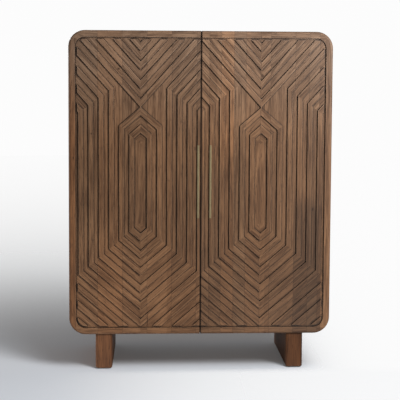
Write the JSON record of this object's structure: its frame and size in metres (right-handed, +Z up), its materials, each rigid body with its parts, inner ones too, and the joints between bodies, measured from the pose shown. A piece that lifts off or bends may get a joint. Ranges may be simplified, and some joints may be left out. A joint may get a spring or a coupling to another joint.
{
  "type": "bar armoire",
  "caption": "Walnut-toned bar armoire with rounded corners, two doors carved with chevrons and hexagons, slim brass pulls, board legs and a fitted bar inside.",
  "frame": {"origin": "on the floor, under the middle of the overall box", "axes": "+X to the viewer's right, +Y to the back, +Z up; the doors face -Y"},
  "size_m": [1.016, 0.457, 1.32],
  "materials": {
    "carved_wood": "oiled satin",
    "case_wood": "oiled satin",
    "leg_wood": "oiled satin",
    "inside_wood": "satin",
    "back_board": "matt",
    "handle_brass": "aged satin",
    "hinge_brass": "satin",
    "screw_steel": "satin",
    "catch_plastic": "matt",
    "glide_plastic": "matt"
  },
  "bodies": {
    "cabinet": {"top_panel": "case_wood", "bottom_panel": "case_wood", "left_side_panel": "case_wood", "right_side_panel": "case_wood", "top_left_corner_block": "case_wood", "top_right_corner_block": "case_wood", "bottom_left_corner_block": "case_wood", "bottom_right_corner_block": "case_wood", "left_leg": "leg_wood", "right_leg": "leg_wood", "serving_shelf": "inside_wood", "partition": "inside_wood", "loose_shelf": "inside_wood", "rising_rack_board": "inside_wood", "falling_rack_board": "inside_wood", "stem_spacers": "inside_wood", "stem_slats": "inside_wood", "anchor_rail": "inside_wood", "corner_splines": "inside_wood", "back_panel": "back_board", "left_hinge_case_leaves": "hinge_brass", "left_hinge_pins": "hinge_brass", "right_hinge_case_leaves": "hinge_brass", "right_hinge_pins": "hinge_brass", "back_screws": "screw_steel", "stem_screws": "screw_steel", "catch_screws": "screw_steel", "leg_bolts": "screw_steel", "leg_inserts": "screw_steel", "shelf_pins": "screw_steel", "catch_magnets": "screw_steel", "left_hinge_case_screws": "screw_steel", "right_hinge_case_screws": "screw_steel", "catch_housings": "catch_plastic", "floor_glides": "glide_plastic"},
    "left_door": {"left_door": "carved_wood", "left_hinge_door_leaves": "hinge_brass", "left_hinge_door_screws": "screw_steel", "left_strike_plate": "screw_steel", "left_strike_screw": "screw_steel", "left_handle_bar": "handle_brass", "left_handle_posts": "handle_brass", "left_handle_screws": "screw_steel"},
    "right_door": {"right_door": "carved_wood", "right_hinge_door_leaves": "hinge_brass", "right_hinge_door_screws": "screw_steel", "right_strike_plate": "screw_steel", "right_strike_screw": "screw_steel", "right_handle_bar": "handle_brass", "right_handle_posts": "handle_brass", "right_handle_screws": "screw_steel"}
  },
  "joints": [
    {"name": "left_door_hinge", "type": "hinge", "parent": "cabinet", "child": "left_door", "pos_m": [-0.503, -0.17751, 0.7325], "axis": [0, 0, -1], "range_deg": [0, 110]},
    {"name": "right_door_hinge", "type": "hinge", "parent": "cabinet", "child": "right_door", "pos_m": [0.503, -0.17751, 0.7325], "axis": [0, 0, 1], "range_deg": [0, 110]}
  ]
}
